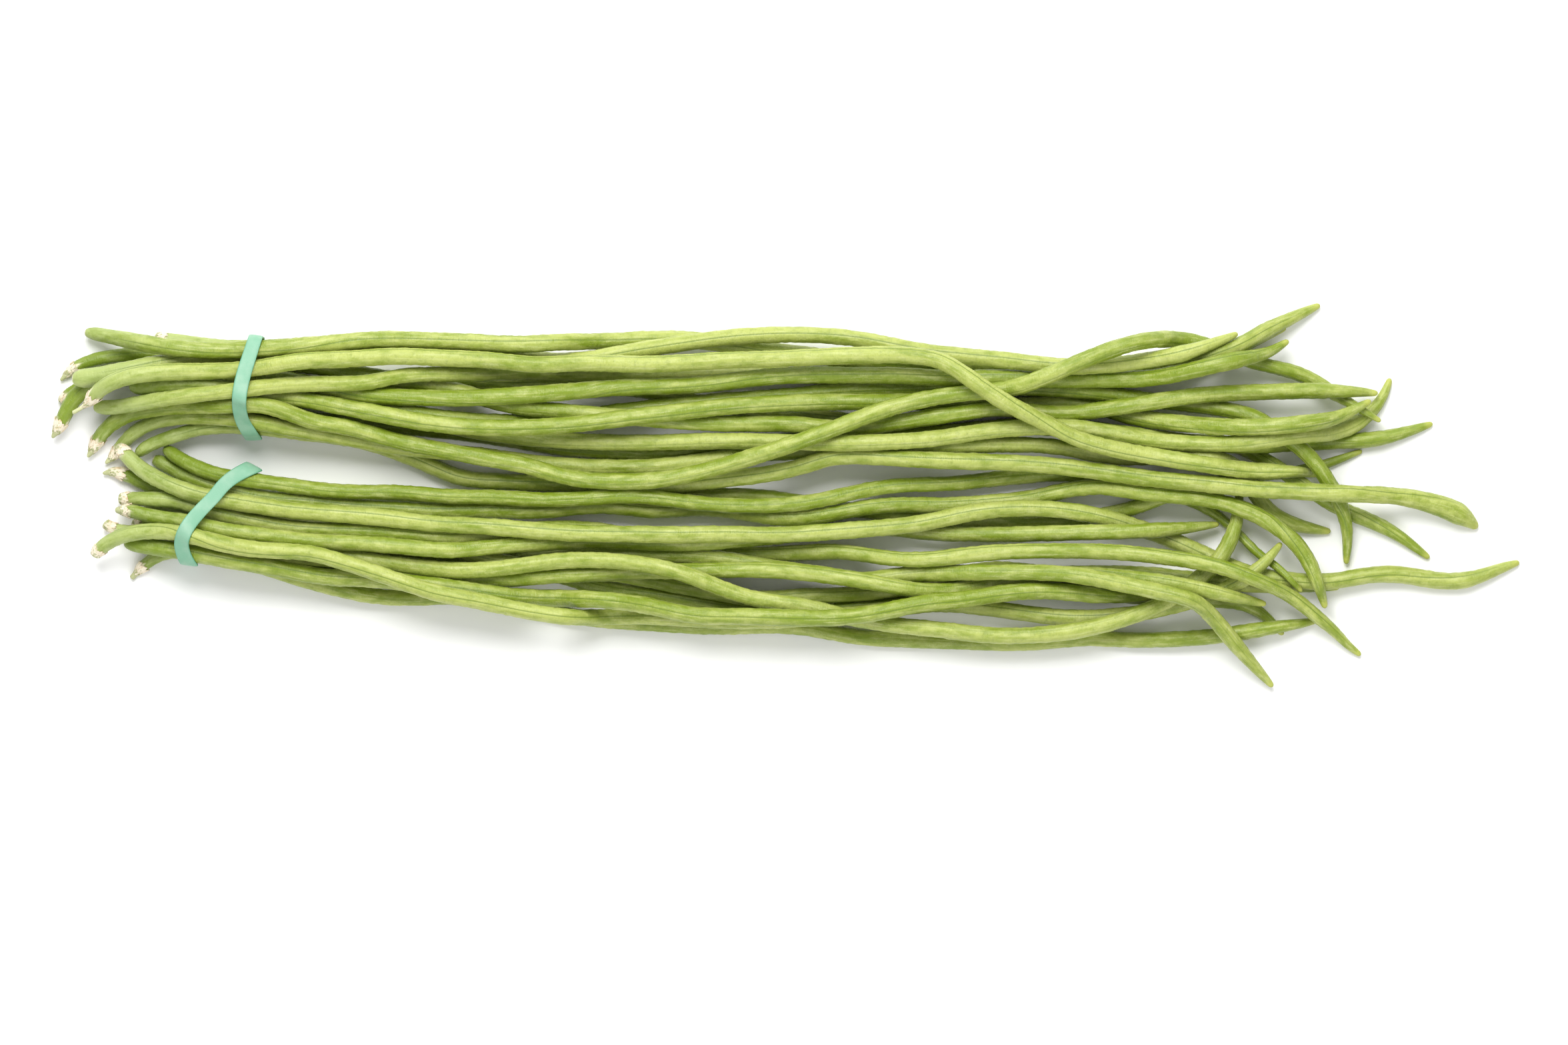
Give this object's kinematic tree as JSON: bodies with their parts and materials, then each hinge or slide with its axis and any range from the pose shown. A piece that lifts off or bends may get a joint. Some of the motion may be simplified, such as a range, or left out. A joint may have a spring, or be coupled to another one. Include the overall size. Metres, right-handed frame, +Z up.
{
  "type": "yardlong bean bunch",
  "caption": "Bunch of long slender green bean pods lying flat, tied near the stem ends with rubber bands, tips fanned out and crossing.",
  "frame": {"origin": "centre of the bunch's plan, on the surface that it lies on", "axes": "+X along the pods from the tied stem ends to the tips, +Y across the bunch, +Z up"},
  "size_m": [0.5504, 0.1444, 0.0327],
  "materials": {
    "pod": "satin",
    "band": "matte"
  },
  "bodies": {
    "root": {"upper_pod_01": "pod", "upper_pod_02": "pod", "upper_pod_03": "pod", "upper_pod_04": "pod", "upper_pod_05": "pod", "upper_pod_06": "pod", "upper_pod_07": "pod", "upper_pod_08": "pod", "upper_pod_09": "pod", "upper_pod_10": "pod", "upper_pod_11": "pod", "upper_pod_12": "pod", "upper_pod_13": "pod", "upper_pod_14": "pod", "lower_pod_01": "pod", "lower_pod_02": "pod", "lower_pod_03": "pod", "lower_pod_04": "pod", "lower_pod_05": "pod", "lower_pod_06": "pod", "lower_pod_07": "pod", "lower_pod_08": "pod", "lower_pod_09": "pod", "lower_pod_10": "pod", "lower_pod_11": "pod", "lower_pod_12": "pod", "lower_pod_13": "pod", "lower_pod_14": "pod", "upper_band": "band", "lower_band": "band"}
  },
  "joints": []
}
